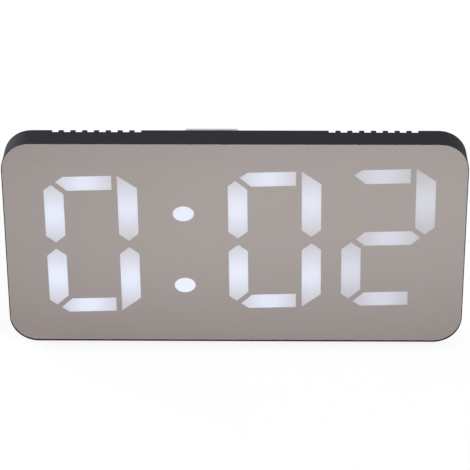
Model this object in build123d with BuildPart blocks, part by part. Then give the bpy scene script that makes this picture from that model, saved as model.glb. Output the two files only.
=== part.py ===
from build123d import *
import os
from math import cos, hypot, radians, sin

os.makedirs("parts", exist_ok=True)

# Case: a shallow rounded slab that carries the mirror and leans back
case_width = 165.0
case_height = 80.0
case_depth = 11.6
corner_radius = 10.3
lean = 8.0
wall = 1.8
edge_round = 0.3

# Gaps: between fixed pieces, round moving pieces, and the length by which a cut runs past a face
fit_gap = 0.1
run_gap = 0.15
overrun = 1.0

# Mirror panel, its tape and the frame behind it
panel_thickness = 1.6
panel_recess = 0.4
panel_gap = 0.05
rim = 0.15
tape_thickness = 0.2
ledge_thickness = 1.0
ledge_width = 5.2
tongue_thickness = 1.2
tongue_depth = 2.0

# Display: three digits, a colon and a slim leading one, as shares of the light box, the digit or the stroke
digit_width_share = 0.21675
digit_height_share = 0.89152
digit_left_shares = (-0.44154, -0.01575, 0.24793)
row_rise_share = 0.00285
stroke_share = 0.2118
bar_share = 0.1031
corner_cut_share = 0.0941
cut_gap_share = 0.0210
bar_inset_share = 0.0585
middle_gap_share = 0.0437
point_share = 0.0503
middle_inset_share = 0.0458
point_slope_share = 1.22
dot_place_shares = (-0.11957, -0.04272)
dot_spacing_share = 0.47042
dot_width_share = 0.2302
dot_height_share = 0.1112
lead_one_left_share = -0.49479
lead_one_width_share = 0.02925
lead_one_reach_share = 0.435
display_twist = 1.567
stroke_slant = 1.15

# Light box behind the mirror
reflector_depth = 5.0
well_gap = 0.1
lens_depth = 1.2
film_gap = 0.3

# Circuit boards and what they carry
board_thickness = 1.2
board_margin = 4.6
led_length = 3.5
led_width = 2.8
led_height = 0.7
chip_height = 1.7
chip_lead_reach = 1.0
chip_lead_width = 0.45
chip_lead_pitch = 1.27
chip_lead_thickness = 0.3
driver_length = 10.2
driver_width = 4.0
driver_pin_count = 8
clock_chip_length = 17.9
clock_chip_width = 7.5
clock_chip_pin_count = 14
resistor_length = 1.6
resistor_width = 0.8
resistor_height = 0.5
resistor_pitch = 2.6
resistor_count = 8
transistor_length = 2.9
transistor_width = 1.4
transistor_height = 1.0
transistor_pitch = 5.2
transistor_count = 4
crystal_radius = 1.5
crystal_length = 8.0
crystal_lead_radius = 0.2
crystal_lead_length = 2.0
capacitor_radius = 2.5
capacitor_length = 7.0
sensor_radius = 1.1
sensor_lead_radius = 0.25
sensor_lead_length = 2.6

# Screws: one size for the case and a smaller one for everything inside it
case_screw_radius = 1.1
case_screw_head_radius = 2.3
case_screw_head_height = 1.4
case_screw_length = 5.2
case_screw_inset = 6.8
case_boss_radius = 3.0
case_pad_depth = 1.2
small_screw_radius = 0.9
small_screw_head_radius = 1.8
small_screw_head_height = 0.9
small_screw_length = 4.2
small_boss_radius = 2.1
board_screw_spread_share = 0.33
recess_width = 0.5
recess_depth = 0.6
recess_span_share = 0.62

# Battery bay: three cells side by side in a tray under a sliding door
cell_diameter = 10.5
cell_length = 44.5
cell_nub_radius = 1.9
cell_nub_length = 0.8
cell_edge_round = 0.6
cell_play = 0.9
contact_room = 2.75
contact_thickness = 0.4
contact_height_share = 0.72
contact_tip_gap = 0.2
contact_base_radius = 3.0
contact_tip_radius = 1.7
tray_wall = 1.2
tray_flange = 3.4
tray_gap = 2.5
tray_rise = 6.7
bay_near = 4.5
tray_rib_height = 3.0
board_room = 7.4
lip_thickness = 0.8
rail_width = 1.4
door_gap = 0.1
door_side_gap = 0.25
door_grip_count = 4
door_grip_pitch = 2.4
door_grip_width = 1.0
door_grip_depth = 0.4
door_grip_height_share = 0.45
door_grip_inset = 8.0

# Hump on the back of the case, and the feet
hump_drop = 5.5
hump_shelf = 9.0
hump_round = 3.0
foot_proud = 1.0
foot_width = 14.0
foot_length = 5.0
foot_round = 1.6
foot_seat_depth = 0.6
front_foot_depth_share = 0.70
front_foot_spread_share = 0.376
rear_foot_spread_share = 0.28
rear_foot_inset = 6.5

# Vent slots over the top edge of the back
slot_count = 8
slot_pitch = 4.19
slot_width = 2.37
slot_first_share = 0.2088
slot_height = 4.5

# Rear buttons and their switches
button_radius = 4.0
button_proud = 1.0
button_round = 0.4
button_flange = 1.0
button_flange_thickness = 1.0
button_pitch = 15.0
button_gap = 0.2
button_dish_radius = 2.6
button_dish_depth = 0.3
button_names = ("set", "mode", "up", "down")
button_row_drop = 17.57
button_travel = 0.5
button_seat_gap = 0.1
switch_size = 4.5
switch_height = 3.2
switch_proud = 1.1
plunger_radius = 1.2
plunger_length = 2.6
plunger_gap = 0.06
switch_lead_width = 0.7

# Snooze key on top of the hump, off centre, seen just above the case in front
key_width = 19.0
key_place_share = -0.0515
key_thickness = 4.5
key_front_gap = 1.5
key_proud = 3.4
key_round = 0.8
key_flange = 0.9
key_flange_thickness = 1.0
key_travel = 0.8
key_slot_gap = 0.2
key_boss_gap = 1.1
key_board_margin = 1.3
key_groove_count = 2
key_groove_width = 0.6
key_groove_depth = 0.3
key_groove_pitch = 1.2
key_groove_inset = 1.6

# Power socket, sounder and wiring
socket_spread = 42.0
socket_rise = 20.0
socket_radius = 3.95
socket_flange_radius = 5.0
socket_flange_thickness = 0.8
socket_length = 12.0
socket_bore_radius = 2.85
socket_bore_depth = 9.5
socket_pin_radius = 1.05
socket_pin_length = 7.0
socket_nut_size = 6.0
socket_nut_thickness = 2.0
sounder_to_socket = 24.0
sounder_rise = 20.0
sounder_radius = 6.0
sounder_height = 6.0
sounder_mouth_radius = 1.0
sounder_ring_depth = 3.0
sounder_ring_wall = 1.2
grille_hole_radius = 0.7
grille_ring_radius = 3.2
grille_ring_count = 6
lead_radius = 0.6
ribbon_width = 12.0
ribbon_thickness = 0.6
ribbon_bend = 1.2

# Planes: the case's front leans back, the hump's back leans forward a little, and both look outward
lean_sin = sin(radians(lean))
lean_cos = cos(radians(lean))
bay_depth = cell_diameter + cell_play
hump_reach = wall + bay_depth + tray_wall + board_room
base_depth = case_depth * lean_cos + hump_reach
face_y = -base_depth / 2 + case_height / 2 * lean_sin
face_z = foot_proud + case_height / 2 * lean_cos + case_depth * lean_sin
face = Plane(origin=(0, face_y, face_z), x_dir=(1, 0, 0), z_dir=(0, -lean_cos, lean_sin))


def at(up, depth):
    """The y and z of a point that lies up the case's front from its middle and depth behind it."""
    return face_y + up * lean_sin + depth * lean_cos, face_z + up * lean_cos - depth * lean_sin


hump_top = case_height / 2 - hump_drop
shelf_y, shelf_z = at(hump_top, case_depth + hump_shelf)
back_height = hypot(base_depth / 2 - shelf_y, shelf_z - foot_proud)
back_sin = (base_depth / 2 - shelf_y) / back_height
back_cos = (shelf_z - foot_proud) / back_height
back = Plane(origin=(0, base_depth / 2, foot_proud), x_dir=(-1, 0, 0), z_dir=(0, back_cos, back_sin))
key_top = Plane(origin=(0, *at(hump_top, case_depth)), x_dir=(1, 0, 0), z_dir=(0, lean_sin, lean_cos))


def behind(depth):
    """The plane that lies depth behind the case's front."""
    return face.offset(-depth)


def inside(depth):
    """The plane that lies depth inside the hump's back."""
    return back.offset(-depth)


def below_key(depth):
    """The plane that lies depth under the top of the hump, with its y towards the back."""
    return key_top.offset(-depth)


def display(depth):
    """The plane of the digits, depth behind the case's front and turned a little in it."""
    along = face.x_dir * cos(radians(display_twist)) + face.y_dir * sin(radians(display_twist))
    return Plane(origin=behind(depth).origin, x_dir=along, z_dir=face.z_dir)


def finish(part, name):
    """Labels a finished part and writes it."""
    part.label = name
    export_step(part, f"parts/{name}.step")


# Depths behind the case's front
film_front = panel_recess + panel_thickness
ledge_front = film_front + tape_thickness
parting = ledge_front + ledge_thickness
led_board_front = ledge_front + reflector_depth
led_board_back = led_board_front + board_thickness
rear_wall_front = case_depth - wall
pad_front = rear_wall_front - case_pad_depth

# Outlines in the plane of the case's front
panel_inset = rim + panel_gap
window_width = case_width - 2 * ledge_width
window_height = case_height - 2 * ledge_width
window_radius = corner_radius - ledge_width
tongue_inset = wall + fit_gap
reflector_width = window_width - 2 * film_gap
reflector_height = case_height - 2 * (case_screw_inset + small_boss_radius + 2 * fit_gap)
corner_screws = [
    (x * (case_width / 2 - case_screw_inset), y * (case_height / 2 - case_screw_inset))
    for x in (-1, 1) for y in (-1, 1)
]
board_screws_at = [
    (x * board_screw_spread_share * case_width, y * (case_height / 2 - case_screw_inset))
    for x in (-1, 0, 1) for y in (-1, 1)
]

# Digit template: x from the digit's left edge and y from its middle line
digit_width = digit_width_share * reflector_width
digit_height = digit_height_share * reflector_height
stroke = stroke_share * digit_width
bar = bar_share * digit_height
half = digit_height / 2
corner_cut = corner_cut_share * digit_height
cut_gap = cut_gap_share * digit_height
point = point_share * digit_height
middle_gap = middle_gap_share * digit_height / 2
middle_inset = middle_inset_share * digit_width
bar_inset = bar_inset_share * digit_width
outer_slope = corner_cut / stroke
mitre_slope = (bar - corner_cut / 2) / (stroke / 2)
mitre_shift = cut_gap / (outer_slope + mitre_slope)


def upright():
    """The upper left stroke of a digit."""
    return [
        (stroke / 2 - mitre_shift, half - corner_cut / 2 - outer_slope * mitre_shift),
        (stroke, half - bar - cut_gap),
        (stroke, middle_gap + point),
        (stroke / 2, middle_gap),
        (0, middle_gap + point),
        (0, half - corner_cut),
    ]


def top_bar():
    """The top bar of a digit."""
    return [
        (stroke / 2 + mitre_shift, half - corner_cut / 2 + outer_slope * mitre_shift),
        (stroke, half),
        (digit_width - stroke - bar_inset, half),
        (digit_width - stroke - bar_inset, half - bar),
        (stroke + cut_gap / mitre_slope, half - bar),
    ]


def right_stroke():
    """The upper right stroke of a digit, whose slanted end stands for the corner."""
    return [
        (digit_width - stroke, half),
        (digit_width, half - corner_cut),
        (digit_width, middle_gap + point),
        (digit_width - stroke / 2, middle_gap),
        (digit_width - stroke, middle_gap + point),
    ]


def middle_bar():
    """The middle bar of a digit, pointed at both ends."""
    tip = stroke / 2 + middle_inset
    neck = tip + point * point_slope_share
    return [
        (tip, 0),
        (neck, bar / 2),
        (digit_width - neck, bar / 2),
        (digit_width - tip, 0),
        (digit_width - neck, -bar / 2),
        (neck, -bar / 2),
    ]


def flipped(points):
    """The same outline upside down."""
    return [(x, -y) for x, y in reversed(points)]


segments = {
    "a": top_bar(),
    "b": right_stroke(),
    "c": flipped(right_stroke()),
    "d": flipped(top_bar()),
    "e": flipped(upright()),
    "f": upright(),
    "g": middle_bar(),
}
row_rise = row_rise_share * reflector_height
slant_per_rise = sin(radians(stroke_slant))
lead_one_width = lead_one_width_share * reflector_width
lead_one_reach = lead_one_reach_share * digit_height


def placed(points, left):
    """An outline moved to its digit's place, with the slant of the strokes."""
    return [(left + x + y * slant_per_rise, row_rise + y) for x, y in points]


def lead_one_stroke(side):
    """One of the two strokes of the slim leading one, above or below the middle."""
    points = [
        (0, middle_gap + point / 2),
        (lead_one_width / 2, middle_gap),
        (lead_one_width, middle_gap + point / 2),
        (lead_one_width, lead_one_reach),
        (0, lead_one_reach - point / 2),
    ]
    return points if side > 0 else flipped(points)


def digit_outlines(index, letters):
    """The outlines of the named segments of one digit."""
    left = digit_left_shares[index] * reflector_width
    return [placed(segments[letter], left) for letter in letters]


dot_rise = dot_spacing_share * reflector_height / 2
dots = [
    (
        dot_place_shares[0] * reflector_width + side * dot_rise * slant_per_rise,
        dot_place_shares[1] * reflector_height + side * dot_rise,
    )
    for side in (-1, 1)
]
dot_radii = (dot_width_share * digit_width / 2, dot_height_share * digit_height / 2)
lit_digits = {
    "hour_digit_lenses": digit_outlines(0, "abcdef"),
    "ten_minute_digit_lenses": digit_outlines(1, "abcdef"),
    "minute_digit_lenses": digit_outlines(2, "abged"),
}
unlit_outlines = (
    digit_outlines(0, "g")
    + digit_outlines(1, "g")
    + digit_outlines(2, "cf")
    + [placed(lead_one_stroke(side), lead_one_left_share * reflector_width) for side in (-1, 1)]
)
all_outlines = [outline for group in lit_digits.values() for outline in group] + unlit_outlines


def draw(outlines):
    """Fills the outlines as faces of the open sketch."""
    for outline in outlines:
        Polygon(*outline, align=None)


def draw_dots():
    """Adds the two dots of the colon to the open sketch."""
    with Locations(*dots):
        Ellipse(*dot_radii)


def middle_of(outline):
    """The mean of an outline's corners."""
    count = len(outline)
    return sum(x for x, y in outline) / count, sum(y for x, y in outline) / count


# Mirror panel: a half-silvered sheet, set back a little in the rim of the frame
panel_width = case_width - 2 * panel_inset
panel_height = case_height - 2 * panel_inset
with BuildPart() as mirror_panel:
    with BuildSketch(behind(panel_recess)):
        RectangleRounded(panel_width, panel_height, corner_radius - panel_inset)
    extrude(amount=-panel_thickness)
    chamfer(mirror_panel.faces().sort_by(Axis((0, 0, 0), face.z_dir))[-1].edges(), length=panel_gap)
finish(mirror_panel.part, "mirror_panel")

# Tape: the ring that holds the mirror panel on the ledge of the frame
with BuildPart() as panel_tape:
    with BuildSketch(behind(film_front)):
        RectangleRounded(
            panel_width - 2 * panel_gap,
            panel_height - 2 * panel_gap,
            corner_radius - panel_inset - panel_gap,
        )
        RectangleRounded(window_width, window_height, window_radius, mode=Mode.SUBTRACT)
    extrude(amount=-tape_thickness)
finish(panel_tape.part, "panel_tape")

# Front frame: rim, ledge, tongue into the rear shell, and the bosses for both sets of screws
tongue_width = case_width - 2 * tongue_inset
tongue_height = case_height - 2 * tongue_inset
with BuildPart() as front_frame:
    with BuildSketch(behind(0)):
        RectangleRounded(case_width, case_height, corner_radius)
        RectangleRounded(case_width - 2 * rim, case_height - 2 * rim, corner_radius - rim, mode=Mode.SUBTRACT)
    extrude(amount=-ledge_front)
    with BuildSketch(behind(ledge_front)):
        RectangleRounded(case_width, case_height, corner_radius)
        RectangleRounded(window_width, window_height, window_radius, mode=Mode.SUBTRACT)
    extrude(amount=-ledge_thickness)
    with BuildSketch(behind(parting)):
        RectangleRounded(tongue_width, tongue_height, corner_radius - tongue_inset)
        RectangleRounded(
            tongue_width - 2 * tongue_thickness,
            tongue_height - 2 * tongue_thickness,
            corner_radius - tongue_inset - tongue_thickness,
            mode=Mode.SUBTRACT,
        )
        for x, y in board_screws_at:
            edge = (tongue_height - tongue_thickness) / 2
            with Locations((x, (y + edge * y / abs(y)) / 2)):
                Rectangle(small_boss_radius, edge - abs(y))
    extrude(amount=-tongue_depth)
    with BuildSketch(behind(ledge_front)):
        with Locations(*board_screws_at):
            Circle(small_boss_radius)
    extrude(amount=-reflector_depth)
    with BuildSketch(behind(ledge_front)):
        with Locations(*corner_screws):
            Circle(case_boss_radius)
    extrude(amount=-(pad_front - ledge_front))
    with BuildSketch(behind(led_board_front)):
        with Locations(*board_screws_at):
            Circle(small_screw_radius + fit_gap / 2)
    extrude(amount=reflector_depth - ledge_thickness, mode=Mode.SUBTRACT)
    with BuildSketch(behind(pad_front)):
        with Locations(*corner_screws):
            Circle(case_screw_radius + fit_gap / 2)
    extrude(amount=pad_front - parting, mode=Mode.SUBTRACT)
finish(front_frame.part, "front_frame")

# Segment film: a dark printed sheet right behind the mirror, clear where the segments are
with BuildPart() as segment_film:
    with BuildSketch(behind(film_front)):
        RectangleRounded(window_width - 2 * film_gap, window_height - 2 * film_gap, window_radius)
    extrude(amount=-tape_thickness)
    with BuildSketch(display(film_front)):
        draw(all_outlines)
        draw_dots()
    extrude(amount=-tape_thickness, mode=Mode.SUBTRACT)
finish(segment_film.part, "segment_film")

# Reflector: a block with one light well for each segment and dot
with BuildPart() as reflector_frame:
    with BuildSketch(behind(ledge_front)):
        Rectangle(reflector_width, reflector_height)
        with Locations(*corner_screws):
            Circle(case_boss_radius + 2 * run_gap, mode=Mode.SUBTRACT)
    extrude(amount=-reflector_depth)
    with BuildSketch(display(ledge_front)):
        draw(all_outlines)
        draw_dots()
    extrude(amount=-reflector_depth, mode=Mode.SUBTRACT)
finish(reflector_frame.part, "reflector_frame")

# Lenses: a milky insert in the mouth of each well, grouped by digit
for lens_name, outlines in lit_digits.items():
    with BuildPart() as digit_lenses:
        with BuildSketch(display(ledge_front)):
            draw(outlines)
            offset(amount=-well_gap, kind=Kind.INTERSECTION)
        extrude(amount=-lens_depth)
    finish(digit_lenses.part, lens_name)

with BuildPart() as colon_lenses:
    with BuildSketch(display(ledge_front)):
        with Locations(*dots):
            Ellipse(dot_radii[0] - well_gap, dot_radii[1] - well_gap)
    extrude(amount=-lens_depth)
finish(colon_lenses.part, "colon_lenses")

with BuildPart() as unlit_segment_lenses:
    with BuildSketch(display(ledge_front)):
        draw(unlit_outlines)
        offset(amount=-well_gap, kind=Kind.INTERSECTION)
    extrude(amount=-lens_depth)
finish(unlit_segment_lenses.part, "unlit_segment_lenses")

# Display board, screwed to the frame behind the reflector
with BuildPart() as led_board:
    with BuildSketch(behind(led_board_front)):
        Rectangle(case_width - 2 * board_margin, case_height - 2 * board_margin)
        with Locations(*corner_screws):
            Circle(case_boss_radius + 2 * run_gap, mode=Mode.SUBTRACT)
            corner = case_boss_radius + 2 * run_gap + board_margin
        for x, y in corner_screws:
            with Locations((x + corner / 2 * x / abs(x), y), (x, y + corner / 2 * y / abs(y))):
                Rectangle(corner, corner, mode=Mode.SUBTRACT)
        with Locations(*board_screws_at):
            Circle(small_screw_radius + fit_gap, mode=Mode.SUBTRACT)
    extrude(amount=-board_thickness)
finish(led_board.part, "led_board")

# Light emitting diodes: one under each segment and dot
with BuildPart() as segment_leds:
    with BuildSketch(display(led_board_front)):
        with Locations(*[middle_of(outline) for outline in all_outlines]):
            Rectangle(led_width, led_length)
        with Locations(*dots):
            Rectangle(led_width, led_length)
    extrude(amount=led_height)
finish(segment_leds.part, "segment_leds")


def chip(plane, place, length, width, pins):
    """A surface-mount chip on the plane, standing along its normal, with two rows of bent leads."""
    with BuildSketch(plane.offset(chip_lead_thickness)) as body:
        with Locations(place):
            Rectangle(length, width)
    extrude(body.sketch, amount=chip_height - chip_lead_thickness)
    with BuildSketch(plane) as toes:
        with Locations(place):
            with GridLocations(chip_lead_pitch, width + chip_lead_reach, pins, 2):
                Rectangle(chip_lead_width, chip_lead_reach)
    extrude(toes.sketch, amount=chip_lead_thickness)
    with BuildSketch(plane) as shins:
        with Locations(place):
            with GridLocations(chip_lead_pitch, width + chip_lead_thickness, pins, 2):
                Rectangle(chip_lead_width, chip_lead_thickness)
    extrude(shins.sketch, amount=chip_height / 2)


# Main board, high on the hump's back
button_row_rise = back_height - button_row_drop
main_board_height = 4 * small_boss_radius + 2 * switch_size
board_foot = button_row_rise - main_board_height / 2

# Battery bay, measured from the foot of the hump's back and from its middle line, with as many cells as fit
cell_pitch = cell_diameter + (cell_play - fit_gap) / 2 + 2 * fit_gap
bay_low = tray_rise + tray_wall
cell_count = int((board_foot - bay_low - tray_wall - tray_flange) / cell_pitch)
bay_height = cell_count * cell_pitch
bay_length = cell_length + 2 * contact_room
bay_middle = (bay_near + bay_length / 2, bay_low + bay_height / 2)
hump_half = bay_near + bay_length + tray_wall + tray_gap + wall
cell_axis_depth = wall + bay_depth - cell_diameter / 2 - run_gap
rail_height = bay_height + 2 * rail_width


def hump_outline(inset):
    """The side view of the hump as y and z points, its walls drawn in by an inset."""
    start_y = base_depth / 2 - inset * back_cos
    start_z = foot_proud - inset * back_sin
    start_up = (start_y - face_y) * lean_sin + (start_z - face_z) * lean_cos
    rise_per_step = back_cos * lean_cos - back_sin * lean_sin
    top_step = (hump_top - inset - start_up) / rise_per_step
    low_step = inset * (1 + back_sin) / back_cos
    front = case_depth - (wall + overrun if inset else wall / 2)
    low = -case_height / 2 + inset
    return [
        at(hump_top - inset, front),
        (start_y - top_step * back_sin, start_z + top_step * back_cos),
        (start_y - low_step * back_sin, start_z + low_step * back_cos),
        at(low, case_depth),
        at(low if inset else low + wall, front),
    ]


def draw_hump(inset):
    """Adds the hump to the open part, drawn in by an inset and cut away if there is one."""
    with BuildSketch(Plane.YZ) as side:
        Polygon(*hump_outline(inset), align=None)
    extrude(side.sketch, amount=hump_half - inset, both=True, mode=Mode.SUBTRACT if inset else Mode.ADD)


def round_hump(part):
    """Rounds the back edges of the hump, all but the lowest."""
    facing_back = part.faces().filter_by(lambda face_: (face_.normal_at() - back.z_dir).length < edge_round)
    fillet(facing_back.sort_by(Axis.Y)[-1].edges().sort_by(Axis.Z)[1:], hump_round)


def draw_rail(low_depth, high_depth, height, near, far):
    """Extrudes a strip of the door's cross-section, between two depths inside the hump's back."""
    with BuildSketch(inside(low_depth)) as strip:
        with Locations(((near + far) / 2, bay_middle[1])):
            Rectangle(far - near, height)
    extrude(strip.sketch, amount=-(high_depth - low_depth), mode=Mode.SUBTRACT)


# Places on the hump's back: x to the right as seen from behind, y up from its foot
button_row_start = -(len(button_names) - 1) / 2 * button_pitch
buttons_at = [(button_row_start + index * button_pitch, button_row_rise) for index in range(len(button_names))]
socket_at = (-socket_spread, socket_rise)
sounder_at = (sounder_to_socket - socket_spread, sounder_rise)
switch_top = wall + button_gap + button_flange_thickness + button_seat_gap
main_board_depth = switch_top + switch_height + switch_proud
main_board_back = main_board_depth + board_thickness
main_board_width = 2 * (hump_half - tray_gap - small_boss_radius - wall)
main_screw_spread = main_board_width / 2 - small_boss_radius
main_screw_rise = main_board_height / 2 - small_boss_radius
main_screws_at = [
    (x * main_screw_spread, button_row_rise + y * main_screw_rise)
    for x in (-1, 1) for y in (-1, 1)
]
key_centre = (key_place_share * case_width, key_front_gap + key_thickness / 2)
key_boss_spread = key_width / 2 + key_flange + key_boss_gap + small_boss_radius
key_board_width = 2 * (key_boss_spread + small_boss_radius + key_board_margin)
key_board_length = key_thickness + small_boss_radius
key_boss_at = [(key_centre[0] + side * key_boss_spread, key_centre[1]) for side in (-1, 1)]
key_switch_top = wall + button_gap + key_flange_thickness + button_seat_gap
key_board_top = key_switch_top + switch_proud + switch_height
slots_at = [
    side * (slot_first_share * case_width + index * slot_pitch)
    for side in (-1, 1) for index in range(slot_count)
]
front_feet_at = [
    (side * front_foot_spread_share * case_width, at(-case_height / 2, front_foot_depth_share * case_depth)[0])
    for side in (-1, 1)
]
rear_feet_at = [
    (side * rear_foot_spread_share * case_width, base_depth / 2 - rear_foot_inset)
    for side in (-1, 1)
]
rear_foot_seat = foot_proud + foot_seat_depth
front_foot_tilt = (case_depth * (1 - front_foot_depth_share) + foot_length / 2) * lean_sin
front_foot_seat = foot_proud + foot_seat_depth / 2 + front_foot_tilt

# Rear shell: the sides and back of the case with the hump, its bosses, seats, vents and openings
with BuildPart() as rear_shell:
    with BuildSketch(behind(parting)):
        RectangleRounded(case_width, case_height, corner_radius)
    extrude(amount=-(case_depth - parting))
    fillet(rear_shell.faces().sort_by(Axis((0, 0, 0), face.z_dir))[0].edges(), edge_round)
    draw_hump(0)
    round_hump(rear_shell)
    with BuildSketch(behind(parting)):
        RectangleRounded(case_width - 2 * wall, case_height - 2 * wall, corner_radius - wall)
    extrude(amount=-(rear_wall_front - parting), mode=Mode.SUBTRACT)
    draw_hump(wall)
    # Pads and counterbores for the case screws
    with BuildSketch(behind(pad_front)):
        with Locations(*corner_screws):
            Circle(case_boss_radius)
    extrude(amount=-case_pad_depth)
    with BuildSketch(behind(case_depth)):
        with Locations(*corner_screws):
            Circle(case_screw_head_radius + fit_gap)
    extrude(amount=case_screw_head_height + fit_gap, mode=Mode.SUBTRACT)
    with BuildSketch(behind(case_depth)):
        with Locations(*corner_screws):
            Circle(case_screw_radius + fit_gap)
    extrude(amount=wall + case_pad_depth, mode=Mode.SUBTRACT)
    # Vents: slots through the back that run out over its top edge
    with BuildSketch(behind(case_depth)):
        with Locations(*[(x, (case_height - slot_height + overrun) / 2) for x in slots_at]):
            Rectangle(slot_width, slot_height + overrun)
    extrude(amount=wall, mode=Mode.SUBTRACT)
    # Bosses for the main board, and the ring that holds the sounder
    with BuildSketch(inside(wall)):
        with Locations(*main_screws_at):
            Circle(small_boss_radius)
    extrude(amount=-(main_board_depth - wall))
    with BuildSketch(inside(wall)):
        with Locations(sounder_at):
            Circle(sounder_radius + run_gap + sounder_ring_wall)
            Circle(sounder_radius + run_gap, mode=Mode.SUBTRACT)
    extrude(amount=-sounder_ring_depth)
    with BuildSketch(inside(main_board_depth)):
        with Locations(*main_screws_at):
            Circle(small_screw_radius + fit_gap / 2)
    extrude(amount=main_board_depth - wall, mode=Mode.SUBTRACT)
    # Bosses for the little board under the snooze key
    with BuildSketch(below_key(wall)):
        with Locations(*key_boss_at):
            Circle(small_boss_radius)
    extrude(amount=-(key_board_top - wall))
    with BuildSketch(below_key(key_board_top)):
        with Locations(*key_boss_at):
            Circle(small_screw_radius + fit_gap / 2)
    extrude(amount=key_board_top - wall, mode=Mode.SUBTRACT)
    # Openings for the snooze key, the buttons, the socket and the sound
    with BuildSketch(below_key(0)):
        with Locations(key_centre):
            RectangleRounded(
                key_width + 2 * key_slot_gap,
                key_thickness + 2 * key_slot_gap,
                key_round + key_slot_gap,
            )
    extrude(amount=-wall, mode=Mode.SUBTRACT)
    with BuildSketch(inside(0)):
        with Locations(*buttons_at):
            Circle(button_radius + run_gap)
        with Locations(socket_at):
            Circle(socket_radius + fit_gap)
        with Locations(sounder_at):
            Circle(grille_hole_radius)
            with PolarLocations(grille_ring_radius, grille_ring_count):
                Circle(grille_hole_radius)
    extrude(amount=-wall, mode=Mode.SUBTRACT)
    with BuildSketch(inside(0)):
        with Locations(socket_at):
            Circle(socket_flange_radius + fit_gap)
    extrude(amount=-socket_flange_thickness, mode=Mode.SUBTRACT)
    # The way of the battery door, open at the side of the hump, with a lip above and below
    door_near = bay_near - rail_width
    way_near = door_near - door_side_gap
    way_far = hump_half + overrun
    draw_rail(-overrun, lip_thickness, bay_height + 2 * door_side_gap, way_near, way_far)
    draw_rail(lip_thickness, wall, rail_height + 2 * door_side_gap, way_near - rail_width, way_far)
    # Seats for the feet
    with BuildSketch(Plane.XY):
        with Locations(*front_feet_at):
            RectangleRounded(foot_width + 2 * fit_gap, foot_length + 2 * fit_gap, foot_round + fit_gap)
    extrude(amount=front_foot_seat, mode=Mode.SUBTRACT)
    with BuildSketch(Plane.XY):
        with Locations(*rear_feet_at):
            RectangleRounded(foot_width + 2 * fit_gap, foot_length + 2 * fit_gap, foot_round + fit_gap)
    extrude(amount=rear_foot_seat, mode=Mode.SUBTRACT)
finish(rear_shell.part, "rear_shell")

# Battery door: slides off to the side, with its tongues under the lips of the shell
with BuildPart() as battery_door:
    draw_hump(0)
    round_hump(battery_door)
    with BuildSketch(inside(-overrun)):
        with Locations(((door_near + hump_half + overrun) / 2, bay_middle[1])):
            Rectangle(hump_half + overrun - door_near, bay_height)
    extrude(amount=-(overrun + lip_thickness + door_gap), mode=Mode.INTERSECT)
    with BuildSketch(inside(0)):
        grip_far = hump_half - door_grip_inset
        for index in range(door_grip_count):
            with Locations((grip_far - index * door_grip_pitch, bay_middle[1])):
                SlotOverall(bay_height * door_grip_height_share, door_grip_width, rotation=90)
    extrude(amount=-door_grip_depth, mode=Mode.SUBTRACT)
    with BuildSketch(inside(lip_thickness + door_gap)):
        far = hump_half - hump_round
        with Locations(((door_near - rail_width + far) / 2, bay_middle[1])):
            Rectangle(far - door_near + rail_width, rail_height)
    extrude(amount=-(wall - lip_thickness - 2 * door_gap))
finish(battery_door.part, "battery_door")

# Battery tray: an open box behind the door, with low ribs between the cells
with BuildPart() as battery_tray:
    with BuildSketch(inside(wall)):
        with Locations(bay_middle):
            Rectangle(bay_length + 2 * tray_wall, bay_height + 2 * tray_wall)
    extrude(amount=-(bay_depth + tray_wall))
    with BuildSketch(inside(wall)):
        with Locations(bay_middle):
            Rectangle(bay_length + 2 * tray_wall, bay_height + 2 * (tray_wall + tray_flange))
    extrude(amount=-tray_wall)
    with BuildSketch(inside(wall)):
        with Locations(bay_middle):
            Rectangle(bay_length, bay_height)
    extrude(amount=-bay_depth, mode=Mode.SUBTRACT)
    for index in range(1, cell_count):
        with BuildSketch(inside(wall + bay_depth)):
            with Locations((bay_middle[0], bay_low + index * cell_pitch)):
                Rectangle(cell_length / 2, 2 * run_gap)
        extrude(amount=tray_rib_height)
finish(battery_tray.part, "battery_tray")

# Cells: turned end for end in the order of the tray
cell_half = cell_length / 2
for index in range(cell_count):
    nub_side = 1 if index % 2 == 0 else -1
    cell_middle = inside(cell_axis_depth).from_local_coords(
        Vector(bay_middle[0], bay_low + (index + 1 / 2) * cell_pitch, 0)
    )
    cell_start = cell_middle - back.x_dir * (nub_side * cell_half)
    with BuildPart() as cell:
        with BuildSketch(Plane(cell_start, x_dir=back.z_dir, z_dir=back.x_dir * nub_side)):
            Circle(cell_diameter / 2)
        extrude(amount=cell_length - cell_nub_length)
        fillet(cell.edges().filter_by(GeomType.CIRCLE), cell_edge_round)
        with BuildSketch(Plane(cell_start, x_dir=back.z_dir, z_dir=back.x_dir * nub_side)):
            Circle(cell_nub_radius)
        extrude(amount=cell_length)
    finish(cell.part, f"battery_cell_{index + 1}")

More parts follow.
